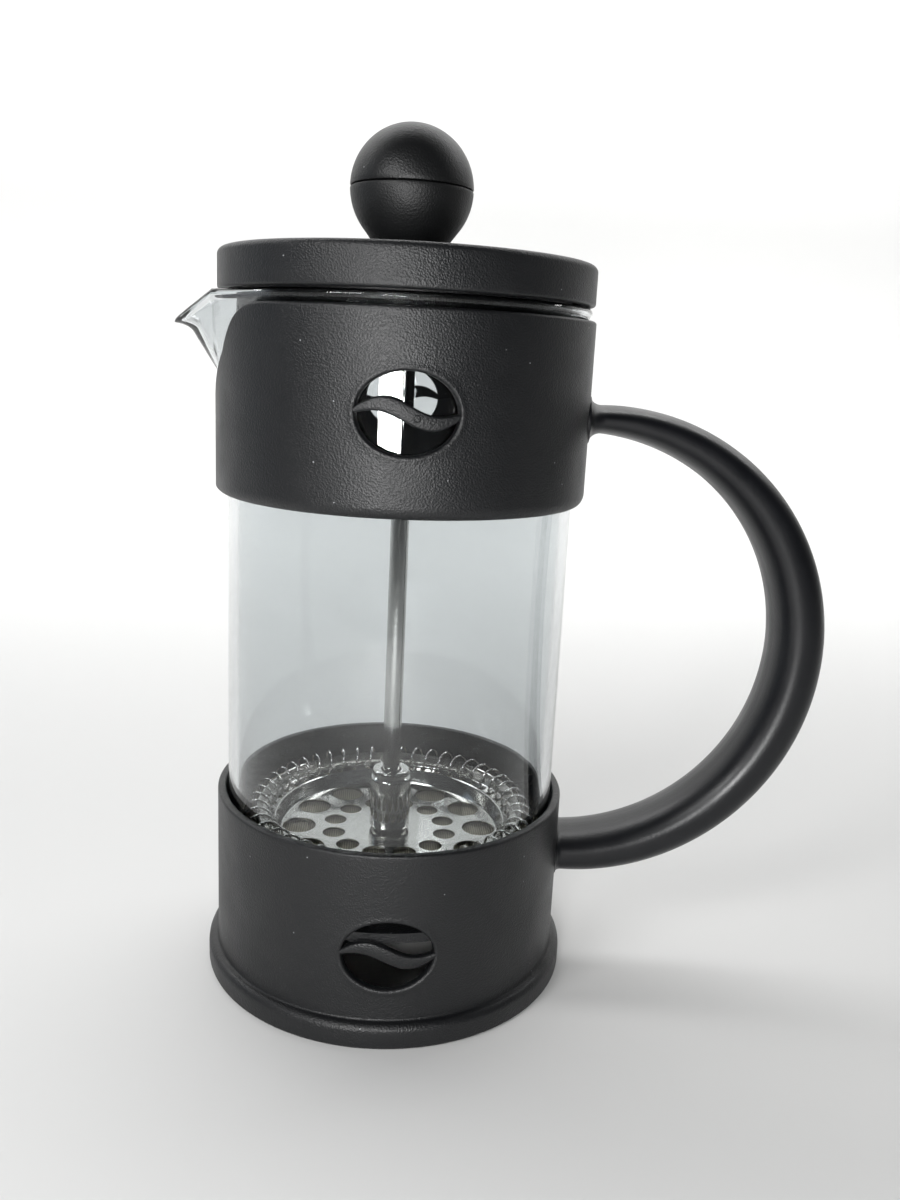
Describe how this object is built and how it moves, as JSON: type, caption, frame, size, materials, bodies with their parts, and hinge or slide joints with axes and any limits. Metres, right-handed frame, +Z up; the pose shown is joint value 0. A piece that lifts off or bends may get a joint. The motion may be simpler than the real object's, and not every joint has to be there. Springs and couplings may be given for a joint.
{
  "type": "french press",
  "caption": "Small French press: glass beaker with a spout in a black moulded frame with a round handle, lid and ball knob, and a steel plunger with a coil-edged filter.",
  "frame": {"origin": "middle of the bounding box at the table, below the finger gap's side of the beaker", "axes": "+X from the beaker towards the handle, -X towards the spout, +Z up along the plunger rod, +Y across the handle"},
  "size_m": [0.1382, 0.0784, 0.1741],
  "materials": {
    "black_moulding": "fine spark-eroded texture on moulded polypropylene",
    "handle_moulding": "satin moulded polypropylene, smoother than the collar",
    "lid_moulding": "fine texture, moulded polypropylene",
    "knob_moulding": "fine texture, moulded",
    "beaker_glass": "clear borosilicate glass with fire-polished rim",
    "polished_steel": "polished stainless steel",
    "filter_steel": "bright rolled and pressed stainless sheet",
    "spring_wire": "bright drawn stainless wire",
    "woven_mesh": "fine woven stainless mesh",
    "brass_insert": "turned brass thread insert"
  },
  "bodies": {
    "frame": {"base_cup": "black_moulding", "upper_collar": "black_moulding", "c_handle": "handle_moulding"},
    "beaker": {"glass_beaker": "beaker_glass"},
    "guide_bush": {"rod_guide_bush": "polished_steel"},
    "lid": {"lid_cover": "lid_moulding", "lid_strainer_sleeve": "lid_moulding"},
    "plunger": {"plunger_rod": "polished_steel", "hub_barrel": "polished_steel"},
    "knob": {"knob_upper_shell": "knob_moulding", "knob_lower_shell": "knob_moulding", "knob_insert": "brass_insert"},
    "filter": {"filter_plate": "filter_steel", "coil_spring": "spring_wire", "mesh_screen": "woven_mesh", "cross_plate": "filter_steel", "cross_plate_stud": "polished_steel"}
  },
  "joints": [
    {"name": "beaker_lift", "type": "slide", "parent": "frame", "child": "beaker", "axis": [0, 0, 1], "range_m": [0, 0.12]},
    {"name": "lid_lift", "type": "slide", "parent": "beaker", "child": "guide_bush", "axis": [0, 0, 1], "range_m": [0, 0.125]},
    {"name": "lid_turn", "type": "hinge", "parent": "guide_bush", "child": "lid", "pos_m": [-0.02325, 0, 0.145], "axis": [0, 0, 1], "continuous": true},
    {"name": "plunger_slide", "type": "slide", "parent": "guide_bush", "child": "plunger", "axis": [0, 0, 1], "range_m": [0, 0.091]},
    {"name": "knob_turn", "type": "hinge", "parent": "plunger", "child": "knob", "pos_m": [-0.02325, 0, 0.155], "axis": [0, 0, 1], "continuous": true},
    {"name": "filter_turn", "type": "hinge", "parent": "plunger", "child": "filter", "pos_m": [-0.02325, 0, 0.032], "axis": [0, 0, 1], "continuous": true}
  ]
}
